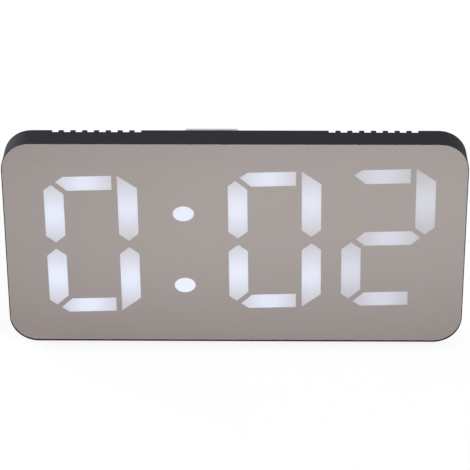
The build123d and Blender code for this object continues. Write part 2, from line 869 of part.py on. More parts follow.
# Contacts: plates on the ends of the tray with a pressed cone to each cell
contact_reach = contact_room - contact_thickness - contact_tip_gap
with BuildPart() as battery_contacts:
    for side, first in ((-1, -1), (1, 0)):
        groups = [
            [index for index in (start, start + 1) if 0 <= index < cell_count]
            for start in range(first, cell_count, 2)
        ]
        wall_place = bay_middle[0] + side * bay_length / 2
        seat = Plane(
            inside(cell_axis_depth).from_local_coords(Vector(wall_place, 0, 0)),
            x_dir=back.y_dir,
            z_dir=back.x_dir * -side,
        )
        for group in groups:
            low = bay_low + group[0] * cell_pitch
            high = bay_low + (group[-1] + 1) * cell_pitch
            plate_length = (high - low) - cell_pitch * (1 - contact_height_share)
            with BuildSketch(seat):
                with Locations(((low + high) / 2, 0)):
                    Rectangle(plate_length, cell_diameter * contact_height_share)
            extrude(amount=contact_thickness)
            for index in group:
                place = bay_low + (index + 1 / 2) * cell_pitch
                with BuildSketch(seat.offset(contact_thickness)):
                    with Locations((place, 0)):
                        Circle(contact_base_radius)
                with BuildSketch(seat.offset(contact_thickness + contact_reach)):
                    with Locations((place, 0)):
                        Circle(contact_tip_radius)
                loft()
finish(battery_contacts.part, "battery_contacts")

# Main board with the rear buttons' switches, screwed to bosses on the back
with BuildPart() as main_board:
    with BuildSketch(inside(main_board_depth)):
        with Locations((0, button_row_rise)):
            Rectangle(main_board_width, main_board_height)
        with Locations(*main_screws_at):
            Circle(small_screw_radius + fit_gap, mode=Mode.SUBTRACT)
    extrude(amount=-board_thickness)
finish(main_board.part, "main_board")


def switch(plane, places, travel):
    """Square push switches standing on the plane, each with a well for its plunger and two leads."""
    with BuildSketch(plane) as leads:
        with Locations(*places):
            with GridLocations(switch_size + switch_lead_width, 0, 2, 1):
                Rectangle(switch_lead_width, switch_lead_width)
    extrude(leads.sketch, amount=switch_height / 2)
    with BuildSketch(plane) as body:
        with Locations(*places):
            Rectangle(switch_size, switch_size)
    extrude(body.sketch, amount=switch_height)
    with BuildSketch(plane.offset(switch_height)) as wells:
        with Locations(*places):
            Circle(plunger_radius + plunger_gap)
    extrude(wells.sketch, amount=-(plunger_length - switch_proud + travel + fit_gap), mode=Mode.SUBTRACT)


with BuildPart() as button_switches:
    switch(inside(main_board_depth), buttons_at, button_travel)
finish(button_switches.part, "button_switches")

# Rear buttons: a round cap with a flange behind the back wall, and the plunger of its switch
for button_name, place in zip(button_names, buttons_at):
    with BuildPart() as button:
        with BuildSketch(inside(-button_proud)):
            with Locations(place):
                Circle(button_radius)
        extrude(amount=-(button_proud + wall + button_gap))
        fillet(button.edges().sort_by(Axis((0, 0, 0), back.z_dir))[-1], button_round)
        with BuildSketch(inside(-button_proud)):
            with Locations(place):
                Circle(button_dish_radius)
        extrude(amount=-button_dish_depth, mode=Mode.SUBTRACT)
        with BuildSketch(inside(wall + button_gap)):
            with Locations(place):
                Circle(button_radius + button_flange)
        extrude(amount=-button_flange_thickness)
    finish(button.part, f"{button_name}_button")
    with BuildPart() as plunger:
        with BuildSketch(inside(switch_top)):
            with Locations(place):
                Circle(plunger_radius)
        extrude(amount=-plunger_length)
    finish(plunger.part, f"{button_name}_plunger")

# Snooze key: a pale bar through the top of the hump, over its own little board
with BuildPart() as snooze_key:
    with BuildSketch(below_key(-key_proud)):
        with Locations(key_centre):
            RectangleRounded(key_width, key_thickness, key_round)
    extrude(amount=-(key_proud + wall + button_gap))
    fillet(snooze_key.faces().sort_by(Axis((0, 0, 0), key_top.z_dir))[-1].edges(), button_round)
    with BuildSketch(below_key(-key_proud)):
        with Locations(key_centre):
            with GridLocations(0, key_groove_pitch, 1, key_groove_count):
                SlotOverall(key_width - 2 * key_groove_inset, key_groove_width)
    extrude(amount=-key_groove_depth, mode=Mode.SUBTRACT)
    with BuildSketch(below_key(wall + button_gap)):
        with Locations(key_centre):
            Rectangle(key_width + 2 * key_flange, key_thickness + 2 * key_flange)
    extrude(amount=-key_flange_thickness)
finish(snooze_key.part, "snooze_key")

with BuildPart() as snooze_plunger:
    with BuildSketch(below_key(key_switch_top)):
        with Locations(key_centre):
            Circle(plunger_radius)
    extrude(amount=-plunger_length)
finish(snooze_plunger.part, "snooze_plunger")

with BuildPart() as snooze_switch:
    switch(below_key(key_board_top), [key_centre], key_travel)
finish(snooze_switch.part, "snooze_switch")

with BuildPart() as snooze_board:
    with BuildSketch(below_key(key_board_top)):
        with Locations(key_centre):
            Rectangle(key_board_width, key_board_length)
        with Locations(*key_boss_at):
            Circle(small_screw_radius + fit_gap, mode=Mode.SUBTRACT)
    extrude(amount=-board_thickness)
finish(snooze_board.part, "snooze_board")

# Parts on the main board: seen from the front, the clock chip, its crystal and the smaller parts
board_inner = Plane(inside(main_board_back).origin, x_dir=(1, 0, 0), z_dir=-back.z_dir)
board_middle_line = button_row_rise
board_side = main_board_width / 2
with BuildPart() as clock_chip:
    chip(board_inner, (-board_side / 2, board_middle_line), clock_chip_length, clock_chip_width,
         clock_chip_pin_count)
finish(clock_chip.part, "clock_chip")

# The ribbon leaves room for the leads of the socket beside it, and the small parts stand next to it
ribbon_spread = socket_spread - 5 * lead_radius - ribbon_width / 2
transistor_row = transistor_count * transistor_pitch
small_parts_spread = ribbon_spread - ribbon_width / 2 - transistor_row / 2 - transistor_length
with BuildPart() as driver_transistors:
    with BuildSketch(board_inner):
        with Locations((small_parts_spread, board_middle_line - clock_chip_width / 2)):
            with GridLocations(transistor_pitch, 0, transistor_count, 1):
                Rectangle(transistor_length, transistor_width)
    extrude(amount=transistor_height)
finish(driver_transistors.part, "driver_transistors")

with BuildPart() as chip_resistors:
    with BuildSketch(board_inner):
        with Locations((small_parts_spread, board_middle_line + clock_chip_width / 2)):
            with GridLocations(resistor_pitch, 0, resistor_count, 1):
                Rectangle(resistor_width, resistor_length)
    extrude(amount=resistor_height)
finish(chip_resistors.part, "chip_resistors")

crystal_place = (-board_side / 2 + clock_chip_length, board_middle_line)
with BuildPart() as quartz_crystal:
    with BuildSketch(Plane(board_inner.from_local_coords(Vector(*crystal_place, crystal_radius)),
                           x_dir=(1, 0, 0), z_dir=back.y_dir)):
        Circle(crystal_radius)
    extrude(amount=crystal_length / 2, both=True)
    with BuildSketch(Plane(board_inner.from_local_coords(Vector(*crystal_place, crystal_radius)),
                           x_dir=(1, 0, 0), z_dir=back.y_dir)):
        with GridLocations(crystal_radius, 0, 2, 1):
            Circle(crystal_lead_radius)
    extrude(amount=crystal_length / 2 + crystal_lead_length)
finish(quartz_crystal.part, "quartz_crystal")

# Capacitor, lying on the front of the main board near its outer end
capacitor_place = (board_side - 2 * small_boss_radius - capacitor_length, board_middle_line)
with BuildPart() as smoothing_capacitor:
    with BuildSketch(Plane(board_inner.from_local_coords(Vector(*capacitor_place, capacitor_radius)),
                           x_dir=back.y_dir, z_dir=(1, 0, 0))):
        Circle(capacitor_radius)
    extrude(amount=capacitor_length)
finish(smoothing_capacitor.part, "smoothing_capacitor")

# Temperature sensor, standing on two leads at the near end of the main board
sensor_place = (-board_side + sensor_lead_length, board_middle_line)
with BuildPart() as temperature_sensor:
    with BuildSketch(board_inner):
        with Locations(sensor_place):
            with GridLocations(sensor_radius, 0, 2, 1):
                Circle(sensor_lead_radius)
    extrude(amount=sensor_lead_length)
    with Locations(board_inner.from_local_coords(Vector(*sensor_place, sensor_lead_length))):
        Sphere(sensor_radius)
finish(temperature_sensor.part, "temperature_sensor")

# Power socket with its nut inside the back
with BuildPart() as power_socket:
    with BuildSketch(inside(0)):
        with Locations(socket_at):
            Circle(socket_flange_radius)
    extrude(amount=-socket_flange_thickness)
    with BuildSketch(inside(0)):
        with Locations(socket_at):
            Circle(socket_radius)
    extrude(amount=-socket_length)
    with BuildSketch(inside(0)):
        with Locations(socket_at):
            Circle(socket_bore_radius)
    extrude(amount=-socket_bore_depth, mode=Mode.SUBTRACT)
    with BuildSketch(inside(socket_bore_depth)):
        with Locations(socket_at):
            Circle(socket_pin_radius)
    extrude(amount=socket_pin_length)
finish(power_socket.part, "power_socket")

with BuildPart() as socket_nut:
    with BuildSketch(inside(wall)):
        with Locations(socket_at):
            RegularPolygon(socket_nut_size, 6)
            Circle(socket_radius + fit_gap / 2, mode=Mode.SUBTRACT)
    extrude(amount=-socket_nut_thickness)
finish(socket_nut.part, "socket_nut")

# Sounder, in its ring behind the grille
sounder_front = wall + 2 * run_gap
with BuildPart() as alarm_sounder:
    with BuildSketch(inside(sounder_front)):
        with Locations(sounder_at):
            Circle(sounder_radius)
    extrude(amount=-sounder_height)
    with BuildSketch(inside(sounder_front)):
        with Locations(sounder_at):
            Circle(sounder_mouth_radius)
    extrude(amount=-sounder_mouth_radius, mode=Mode.SUBTRACT)
finish(alarm_sounder.part, "alarm_sounder")


def wire(points):
    """A round lead along runs joined by arcs, through points on the hump's back and depths inside it."""
    places = [back.from_local_coords(Vector(x, y, -depth)) for x, y, depth in points]
    with BuildLine() as route:
        FilletPolyline(*places, radius=4 * lead_radius)
    with BuildSketch(Plane(route.line @ 0, z_dir=route.line % 0)) as end:
        Circle(lead_radius)
    sweep(end.sketch, path=route.line)


# Leads from the battery tray, the socket and the sounder to the lower edge of the main board
lead_pitch = 3 * lead_radius
lead_end = board_foot + small_boss_radius
lead_depth = main_board_back + lead_radius
tray_end = bay_near - tray_wall
tray_top = bay_low + bay_height
with BuildPart() as battery_leads:
    for index in (0, 1):
        along = tray_end - (2 + index) * lead_pitch
        rise = tray_top - index * cell_pitch / 2 - cell_pitch / 2
        wire([(tray_end, rise, lead_depth), (along, rise, lead_depth), (along, lead_end, lead_depth)])
finish(battery_leads.part, "battery_leads")

with BuildPart() as socket_leads:
    for index in (0, 1):
        across = socket_at[0] + (index * 2 - 1) * lead_pitch / 2
        wire([
            (across, socket_rise, socket_length),
            (across, socket_rise, socket_length + 6 * lead_radius),
            (across, lead_end, lead_depth),
        ])
finish(socket_leads.part, "socket_leads")

with BuildPart() as sounder_leads:
    for index in (0, 1):
        across = sounder_at[0] + (index * 2 - 1) * lead_pitch
        wire([
            (across, sounder_rise, sounder_front + sounder_height),
            (across, sounder_rise, sounder_front + sounder_height + 6 * lead_radius),
            (across, lead_end, lead_depth),
        ])
finish(sounder_leads.part, "sounder_leads")

# Ribbon between the main board and the display board, bent once between their faces
ribbon_top = button_row_rise - switch_size / 2
ribbon_start = board_inner.from_local_coords(Vector(ribbon_spread, ribbon_top, ribbon_thickness / 2))
ribbon_end_up = (ribbon_start.Y - face_y) * lean_sin + (ribbon_start.Z - face_z) * lean_cos
ribbon_end_y, ribbon_end_z = at(ribbon_end_up, led_board_back + ribbon_thickness / 2)
ribbon_drop = main_board_height / 2 + small_boss_radius
with BuildPart() as ribbon_cable:
    with BuildSketch(Plane.YZ.offset(ribbon_spread)):
        with BuildLine():
            FilletPolyline(
                (ribbon_start.Y, ribbon_start.Z),
                (ribbon_start.Y + ribbon_drop * back_sin, ribbon_start.Z - ribbon_drop * back_cos),
                (ribbon_end_y - ribbon_drop * lean_sin, ribbon_end_z - ribbon_drop * lean_cos),
                (ribbon_end_y, ribbon_end_z),
                radius=ribbon_bend,
            )
        trace(line_width=ribbon_thickness)
    extrude(amount=ribbon_width / 2, both=True)
finish(ribbon_cable.part, "ribbon_cable")

# Driver chip for the segments, on the back of the display board beside the end of the ribbon
display_back = Plane(behind(led_board_back).origin, x_dir=(1, 0, 0), z_dir=-face.z_dir)
driver_spread = ribbon_spread - (ribbon_width + driver_length) / 2 - driver_width
driver_up = ribbon_end_up - ribbon_drop / 2
with BuildPart() as led_driver_chip:
    chip(display_back, (driver_spread, -driver_up), driver_length, driver_width, driver_pin_count)
finish(led_driver_chip.part, "led_driver_chip")


def screw(plane, places, radius, head_radius, head_height, length):
    """Cross-head screws whose heads stand on the plane and whose shanks go the other way."""
    with BuildSketch(plane) as heads:
        with Locations(*places):
            Circle(head_radius)
    extrude(heads.sketch, amount=head_height)
    with BuildSketch(plane) as shanks:
        with Locations(*places):
            Circle(radius)
    extrude(shanks.sketch, amount=-length)
    span = 2 * head_radius * recess_span_share
    with BuildSketch(plane.offset(head_height)) as crosses:
        with Locations(*places):
            Rectangle(span, recess_width)
            Rectangle(recess_width, span)
    extrude(crosses.sketch, amount=-recess_depth, mode=Mode.SUBTRACT)


# Case screws, from behind through the pads of the shell into the frame's corner bosses
with BuildPart() as case_screws:
    case_seat = Plane(
        behind(case_depth - case_screw_head_height - fit_gap).origin, x_dir=(1, 0, 0), z_dir=-face.z_dir
    )
    screw(case_seat, corner_screws, case_screw_radius, case_screw_head_radius, case_screw_head_height,
          case_screw_length)
finish(case_screws.part, "case_screws")

# Board screws: one size for the display board, the main board and the little board
with BuildPart() as board_screws:
    screw(display_back, board_screws_at, small_screw_radius, small_screw_head_radius, small_screw_head_height,
          small_screw_length)
    screw(board_inner, [(-x, y) for x, y in main_screws_at], small_screw_radius, small_screw_head_radius,
          small_screw_head_height, small_screw_length)
    key_seat = Plane(below_key(key_board_top + board_thickness).origin, x_dir=(1, 0, 0), z_dir=-key_top.z_dir)
    screw(key_seat, [(x, -y) for x, y in key_boss_at], small_screw_radius, small_screw_head_radius,
          small_screw_head_height, small_screw_length)
finish(board_screws.part, "board_screws")

# Feet: soft pads let into the underside of the case and of the hump
with BuildPart() as front_feet:
    with BuildSketch(Plane.XY):
        with Locations(*front_feet_at):
            RectangleRounded(foot_width, foot_length, foot_round)
    extrude(amount=front_foot_seat)
finish(front_feet.part, "front_feet")

with BuildPart() as rear_feet:
    with BuildSketch(Plane.XY):
        with Locations(*rear_feet_at):
            RectangleRounded(foot_width, foot_length, foot_round)
    extrude(amount=rear_foot_seat)
finish(rear_feet.part, "rear_feet")
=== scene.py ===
import math

import bmesh
import bpy
from mathutils import Matrix, Vector


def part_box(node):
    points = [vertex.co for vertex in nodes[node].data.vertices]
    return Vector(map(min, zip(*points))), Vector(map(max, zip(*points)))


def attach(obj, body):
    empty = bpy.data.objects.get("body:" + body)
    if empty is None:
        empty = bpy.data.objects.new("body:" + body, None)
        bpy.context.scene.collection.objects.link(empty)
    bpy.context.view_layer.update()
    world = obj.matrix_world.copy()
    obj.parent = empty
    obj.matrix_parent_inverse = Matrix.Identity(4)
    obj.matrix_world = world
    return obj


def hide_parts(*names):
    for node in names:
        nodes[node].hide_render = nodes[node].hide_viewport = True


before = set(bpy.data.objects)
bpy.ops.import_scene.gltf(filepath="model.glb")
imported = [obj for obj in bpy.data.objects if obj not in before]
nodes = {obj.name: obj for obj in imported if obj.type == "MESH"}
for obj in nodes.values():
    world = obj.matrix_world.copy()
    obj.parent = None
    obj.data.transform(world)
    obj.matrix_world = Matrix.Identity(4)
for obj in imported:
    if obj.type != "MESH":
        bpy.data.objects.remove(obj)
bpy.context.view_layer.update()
MM = 0.001

# The mirror's own directions: across it, up it, and out of its face
lean = math.radians(8.0)
across = Vector((1, 0, 0))
upward = Vector((0, math.sin(lean), math.cos(lean)))
outward = Vector((0, -math.cos(lean), math.sin(lean)))
panel_thickness = 1.6 * MM
panel_recess = 0.4 * MM

# Camera, fitted to the outline of the mirror and the case in the photograph
image_side = 470
sensor_width = 36.0
focal_pixels = 2189.6
camera_distance = 0.7853
camera_rise = math.radians(28.04)
camera_side = math.radians(1.08)
camera_roll = math.radians(-0.346)
centre_drop_pixels = 10.0

# The mirror: how much light it passes, and its silver with a painted reflection shade, brightest at one place
# and darker outwards
mirror_alpha = 0.5
painted_silver_bright = (0.762, 0.687, 0.660)
painted_silver_dim = (0.575, 0.502, 0.478)
painted_brightest_place = (30.0 * MM, 12.0 * MM)
painted_fade_reach = (168.0 * MM, 57.0 * MM)
glass_alpha = 0.03
glass_colour = (0.10, 0.11, 0.11)

# The lit lenses: the light over their diode and at their ends, and how it falls off between
lens_middle = (0.66, 0.78, 1.0)
lens_end = (0.34, 0.39, 0.46)
lens_fade = (2.5 * MM, 12.5 * MM)
lens_glow = {
    "hour_digit_lenses": 1.44,
    "ten_minute_digit_lenses": 1.33,
    "minute_digit_lenses": 0.95,
    "colon_lenses": 1.55,
}
lens_shades = ((0.10, 0.10, 0.11), (0.13, 0.13, 0.14))
top_loss_share = 0.14
right_loss_share = 0.09

# Colours of the pieces that show
case_colour = (0.0265, 0.0252, 0.0325)
button_colour = (0.052, 0.050, 0.056)
key_colour = (0.70, 0.70, 0.71)
foot_colour = (0.02, 0.02, 0.02)
screw_colour = (0.20, 0.20, 0.21)
nut_colour = (0.60, 0.58, 0.53)

# Colours of the pieces inside, and the gloss of the wires
dark_film_colour = (0.003, 0.003, 0.003)
reflector_colour = (0.30, 0.30, 0.30)
board_colour = (0.012, 0.085, 0.035)
track_colour = (0.03, 0.16, 0.06)
epoxy_colour = (0.018, 0.018, 0.02)
chip_colour = (0.02, 0.02, 0.022)
resistor_colour = (0.04, 0.04, 0.045)
capacitor_colour = (0.02, 0.035, 0.14)
sensor_colour = (0.02, 0.02, 0.02)
switch_colour = (0.025, 0.025, 0.025)
plunger_colour = (0.45, 0.45, 0.45)
diode_colour = (0.70, 0.66, 0.40)
sounder_colour = (0.02, 0.02, 0.02)
crystal_colour = (0.72, 0.72, 0.72)
contact_colour = (0.58, 0.58, 0.56)
cell_colour = (0.05, 0.06, 0.08)
socket_colour = (0.018, 0.018, 0.018)
plated_colour = (0.7, 0.7, 0.7)
ribbon_shades = ((0.30, 0.30, 0.31), (0.48, 0.48, 0.49))
red_wire_colour = (0.30, 0.02, 0.02)
black_wire_colour = (0.02, 0.02, 0.02)
wire_roughness = 0.45

# The middle part of a noise, which is the part that counts
noise_low = 0.3
noise_high = 0.7

# Plastic: faint clouds, the spread of its roughness, and where its edges are lightened, partly as wear and
# partly as a painted highlight
cloud_size = 14 * MM
cloud_factors = (0.93, 1.07)
plastic_spread = (-0.05, 0.07)
wear_and_sheen_size = 3 * MM
wear_and_sheen_span = (0.35, 0.65)
least_wear_and_sheen = 0.3
edge_reach = 0.35 * MM
edge_span = (0.995, 0.80)
bevel_samples = 6

# Metal: scratches along one axis, and duller patches
scratch_size = 0.8 * MM
scratch_stretch = (1, 12, 12)
patch_size = 3 * MM
patch_span = (0.35, 0.7)
patch_factor = 0.8
metal_spread = (-0.08, 0.15)
fine_relief = 0.004 * MM

# Small bodies of two colours
fine_size = 0.6 * MM
fine_factors = (0.9, 1.1)
fine_spread = (-0.06, 0.06)

# Haze of the mirror, smears of its glass and milk of the lenses
haze_size = 45 * MM
haze_spread = (-0.03, 0.03)
mirror_roughness = (0.02, 0.04)
smear_size = 5 * MM
glass_roughness = (0.03, 0.08)
milk_size = 2.5 * MM
milk_spread = (-0.5, 0.5)
lens_roughness = (0.30, 0.45)
lens_shine = 0.1

# Pebble and dust of the rubber
pebble_size = 0.5 * MM
pebble_relief = 0.03 * MM
dust_span = (0.5, 0.8)
dust_factor = 1.6
rubber_roughness = (0.78, 0.92)

# Boards with their tracks, and the ribbon cable with its conductors; a wave texture's period at scale 1
track_width = 0.25 * MM
track_length = 9.0 * MM
track_pitch = 2.2 * MM
board_relief = 0.03 * MM
board_patch_size = 2 * MM
board_roughness = (0.28, 0.42)
conductor_pitch = 1.27 * MM
wave_period = math.pi / 10
conductor_relief = 0.1 * MM
ribbon_patch_size = 1 * MM
ribbon_spread = (-0.05, 0.05)

# Meshes: vertices this close are one, and how squarely a face of the mirror looks forwards
weld_distance = 0.001 * MM
least_forwards = 0.5

# Light and surroundings
floor_side = 24.0
floor_albedo = 0.8
floor_white = 0.85
floor_shadow_share = 0.3
floor_roughness = 0.9
world_light = 0.38
lamps = {
    "front_lamp": {"place": (1.30, -1.00, 0.60), "size": 0.8, "power": 20.0},
    "rear_lamp": {"place": (-1.15, 1.10, 0.40), "size": 0.8, "power": 20.0},
}


def box_middle(name):
    """The middle of a CAD node's box."""
    low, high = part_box(name)
    return (low + high) / 2


front_middle = box_middle("mirror_panel") + outward * (panel_thickness / 2 + panel_recess)


def make_camera():
    """The photograph's camera: in front of the clock and above it, tilted up and turned about its axis."""
    towards = (
        across * (math.sin(camera_side) * math.cos(camera_rise))
        + upward * math.sin(camera_rise)
        + outward * (math.cos(camera_side) * math.cos(camera_rise))
    )
    forward = -towards
    right = forward.cross(upward).normalized()
    above = right.cross(forward)
    roll_cos, roll_sin = math.cos(camera_roll), math.sin(camera_roll)
    right, above = roll_cos * right + roll_sin * above, roll_cos * above - roll_sin * right
    tilt = math.atan(centre_drop_pixels / focal_pixels)
    forward, above = (
        forward * math.cos(tilt) + above * math.sin(tilt),
        above * math.cos(tilt) - forward * math.sin(tilt),
    )
    data = bpy.data.cameras.new("photo_camera")
    data.sensor_width = sensor_width
    data.lens = focal_pixels * sensor_width / image_side
    camera = bpy.data.objects.new("photo_camera", data)
    bpy.context.scene.collection.objects.link(camera)
    turn = Matrix((right, above, -forward)).transposed()
    camera.matrix_world = Matrix.Translation(front_middle + towards * camera_distance) @ turn.to_4x4()
    bpy.context.scene.camera = camera


make_camera()


class Shader:
    """A material in the making: one Principled node, and short calls that add nodes to it."""

    def __init__(self, name, **values):
        self.material = bpy.data.materials.new(name)
        self.material.use_nodes = True
        self.tree = self.material.node_tree
        self.tree.nodes.clear()
        self.output = self.add("ShaderNodeOutputMaterial")
        self.surface = self.add("ShaderNodeBsdfPrincipled")
        self.link(self.surface.outputs[0], self.output.inputs[0])
        self.place = self.add("ShaderNodeTexCoord").outputs["Object"]
        for key, value in values.items():
            self.put(key.replace("_", " ").title(), value)

    def add(self, kind, **settings):
        """Adds a node and sets its own settings."""
        node = self.tree.nodes.new(kind)
        for key, value in settings.items():
            setattr(node, key, value)
        return node

    def link(self, start, end):
        """Links an output to an input."""
        self.tree.links.new(start, end)

    def feed(self, socket, value):
        """Links an output to a socket, or sets its value."""
        if isinstance(value, bpy.types.NodeSocket):
            self.link(value, socket)
        elif socket.type == "RGBA" and len(value) == 3:
            socket.default_value = (*value, 1.0)
        else:
            socket.default_value = value

    def put(self, name, value):
        """Feeds a socket of the Principled node."""
        self.feed(self.surface.inputs[name], value)

    def math(self, operation, a, b=0.0):
        """A calculation with one or two numbers."""
        node = self.add("ShaderNodeMath", operation=operation)
        self.feed(node.inputs[0], a)
        self.feed(node.inputs[1], b)
        return node.outputs[0]

    def vector(self, operation, a, b=(0, 0, 0)):
        """A calculation with one or two vectors, which gives a number or a vector."""
        node = self.add("ShaderNodeVectorMath", operation=operation)
        self.feed(node.inputs[0], a)
        self.feed(node.inputs[1], b)
        return node.outputs["Value" if operation in ("LENGTH", "DISTANCE", "DOT_PRODUCT") else "Vector"]

    def span(self, value, low, high, to_low=0.0, to_high=1.0):
        """Maps a value from one span to another, held at its ends."""
        node = self.add("ShaderNodeMapRange")
        for socket, number in zip(node.inputs, (value, low, high, to_low, to_high)):
            self.feed(socket, number)
        return node.outputs[0]

    def varied(self, noise, to_low=0.0, to_high=1.0):
        """Spreads the middle part of a noise over a span."""
        return self.span(noise, noise_low, noise_high, to_low, to_high)

    def varied_pair(self, first, second, to_low, to_high):
        """Spreads the middle part of two noises together over a span."""
        return self.span(self.math("ADD", first, second), 2 * noise_low, 2 * noise_high, to_low, to_high)

    def mix(self, share, a, b):
        """A colour from a to b by a share."""
        node = self.add("ShaderNodeMixRGB")
        self.feed(node.inputs["Fac"], share)
        self.feed(node.inputs["Color1"], a)
        self.feed(node.inputs["Color2"], b)
        return node.outputs[0]

    def noise(self, size, detail=3.0, stretch=(1, 1, 1)):
        """Noise whose features are about size across, in metres, drawn out along the axes."""
        node = self.add("ShaderNodeTexNoise")
        self.link(self.vector("MULTIPLY", self.place, stretch), node.inputs["Vector"])
        node.inputs["Scale"].default_value = 1.0 / size
        node.inputs["Detail"].default_value = detail
        return node.outputs["Fac"]

    def bump(self, height, depth):
        """Bump from a height of 0 to 1 that stands for depth, in metres."""
        node = self.add("ShaderNodeBump")
        node.inputs["Distance"].default_value = depth
        self.link(height, node.inputs["Height"])
        self.put("Normal", node.outputs["Normal"])

    def edges(self, radius):
        """A mask that is 1 on sharp edges and falls to 0 within about radius of them."""
        bevel = self.add("ShaderNodeBevel", samples=bevel_samples)
        bevel.inputs["Radius"].default_value = radius
        geometry = self.add("ShaderNodeNewGeometry")
        straight = self.vector("DOT_PRODUCT", bevel.outputs["Normal"], geometry.outputs["Normal"])
        return self.span(straight, *edge_span)

    def beyond(self, middle, direction, reach):
        """A mask that is 1 further than reach from middle, along a direction or against it."""
        offset = self.vector("SUBTRACT", self.place, tuple(middle))
        along = self.math("ABSOLUTE", self.vector("DOT_PRODUCT", offset, tuple(direction)))
        return self.math("GREATER_THAN", along, reach)

    def right_of(self, middle):
        """A mask that is 1 on the right of middle."""
        return self.math("GREATER_THAN", self.vector("DOT_PRODUCT", self.place, tuple(across)), middle.x)


def lightened(colour, factor):
    """A colour made lighter or darker by a factor."""
    return tuple(min(1.0, c * factor) for c in colour)


def shades_of(colour, factors):
    """The darker and the lighter shade of a colour."""
    return [lightened(colour, factor) for factor in factors]


def spread_of(rough, spread):
    """The lowest and the highest roughness about a middle one."""
    return [rough + part for part in spread]


def dress(material, *names):
    """Gives CAD nodes a material in all their slots."""
    for name in names:
        mesh = nodes[name].data
        mesh.materials.clear()
        mesh.materials.append(material)


def moulded(name, colour, rough, grain=0.35 * MM, depth=0.012 * MM, wear_and_sheen=1.5, shine=0.5):
    """Moulded plastic: fine spark-eroded grain, uneven gloss, faint cloudiness and edges lightened in
    patches, partly as wear and partly as a painted highlight.
    """
    shader = Shader(name)
    shader.put("Specular IOR Level", shine)
    cloud = shader.noise(cloud_size, detail=2.0)
    grains = shader.noise(grain, detail=2.0)
    base = shader.mix(shader.varied(cloud), *shades_of(colour, cloud_factors))
    # Edges lightened in patches: partly wear, partly a painted highlight where the edges would catch the
    # light
    patchy = shader.span(shader.noise(wear_and_sheen_size), *wear_and_sheen_span, least_wear_and_sheen, 1.0)
    wear_and_sheen_edges = shader.math("MULTIPLY", shader.edges(edge_reach), patchy)
    shader.put("Base Color", shader.mix(wear_and_sheen_edges, base, lightened(colour, wear_and_sheen)))
    shader.put("Roughness", shader.varied_pair(cloud, grains, *spread_of(rough, plastic_spread)))
    shader.bump(grains, depth)
    return shader.material


def brushed(name, colour, rough):
    """Plated or brushed metal with fine scratches along one axis and duller patches."""
    shader = Shader(name, metallic=1.0)
    lines = shader.noise(scratch_size, stretch=scratch_stretch)
    patches = shader.noise(patch_size, detail=2.0)
    duller = shader.span(patches, *patch_span)
    shader.put("Base Color", shader.mix(duller, colour, lightened(colour, patch_factor)))
    shader.put("Roughness", shader.varied_pair(lines, patches, *spread_of(rough, metal_spread)))
    shader.bump(lines, fine_relief)
    return shader.material


def two_tone(name, mask_of, first, second, rough, metal_second=True):
    """Plastic with a second colour, mostly metal, where a mask says so."""
    shader = Shader(name)
    mask = mask_of(shader)
    fine = shader.noise(fine_size)
    shade = shader.mix(shader.varied(fine), *shades_of(first, fine_factors))
    shader.put("Base Color", shader.mix(mask, shade, second))
    if metal_second:
        shader.put("Metallic", mask)
    shader.put("Roughness", shader.varied(fine, *spread_of(rough, fine_spread)))
    shader.bump(fine, fine_relief)
    return shader.material


def plated_ends(name, node, colour, rough, half_body, direction, metal_second=True):
    """A body with plated ends or legs, which start half_body from the node's middle along a direction."""
    middle = box_middle(node)
    return two_tone(name, lambda shader: shader.beyond(middle, direction, half_body),
                    colour, plated_colour, rough, metal_second)


def wire_pair(name):
    """A red wire on the left and a black one on the right."""
    middle = box_middle(name)
    return two_tone(name, lambda shader: shader.right_of(middle),
                    red_wire_colour, black_wire_colour, wire_roughness, metal_second=False)


def half_mirror():
    """The silvered face: a warm grey mirror that passes light, with a painted reflection shade that is
    brightest above and right of its middle and darker away from it.
    """
    shader = Shader("half_mirror", metallic=1.0, alpha=mirror_alpha)
    # Painted reflection shade: the silver darkens with distance from its brightest place, plus a faint haze
    painted_brightest_point = front_middle + across * painted_brightest_place[0] + upward * painted_brightest_place[1]
    offset = shader.vector("SUBTRACT", shader.place, tuple(painted_brightest_point))
    away = shader.vector("LENGTH", shader.vector("DIVIDE", offset, (painted_fade_reach[0], 1.0, painted_fade_reach[1])))
    painted_falloff = shader.math("MULTIPLY", away, away)
    haze = shader.noise(haze_size, detail=1.0)
    painted_shade_and_haze = shader.math("ADD", painted_falloff, shader.varied(haze, *haze_spread))
    shader.put("Base Color", shader.mix(painted_shade_and_haze, painted_silver_bright, painted_silver_dim))
    shader.put("Roughness", shader.varied(haze, *mirror_roughness))
    return shader.material


def clear_glass():
    """The clear sides and back of the panel."""
    shader = Shader("clear_glass", alpha=glass_alpha)
    shader.put("Base Color", glass_colour)
    shader.put("Roughness", shader.varied(shader.noise(smear_size), *glass_roughness))
    return shader.material


def lit_lens(name, glow):
    """Milky lens, bright and bluish over its diode, greyer towards its ends and dimmed by its own share."""
    shader = Shader(name)
    shader.put("Specular IOR Level", lens_shine)
    diode = shader.add("ShaderNodeAttribute", attribute_name="diode_place").outputs["Vector"]
    milk = shader.noise(milk_size, detail=2.0)
    uneven = shader.math("MULTIPLY", shader.varied(milk, *milk_spread), MM)
    away = shader.math("ADD", shader.vector("DISTANCE", shader.place, diode), uneven)
    fade = shader.span(away, *lens_fade)
    shader.put("Base Color", shader.mix(milk, *lens_shades))
    shader.put("Roughness", shader.varied(milk, *lens_roughness))
    share = shader.add("ShaderNodeAttribute", attribute_name="glow_share").outputs["Fac"]
    shader.put("Emission Color", shader.vector("MULTIPLY", shader.mix(fade, lens_middle, lens_end), share))
    shader.put("Emission Strength", glow)
    return shader.material


def rubber(name, colour):
    """Matte rubber with a fine pebble and dusty high spots."""
    shader = Shader(name)
    pebble = shader.noise(pebble_size)
    dusty = shader.span(pebble, *dust_span)
    shader.put("Base Color", shader.mix(dusty, colour, lightened(colour, dust_factor)))
    shader.put("Roughness", shader.varied(pebble, *rubber_roughness))
    shader.bump(pebble, pebble_relief)
    return shader.material


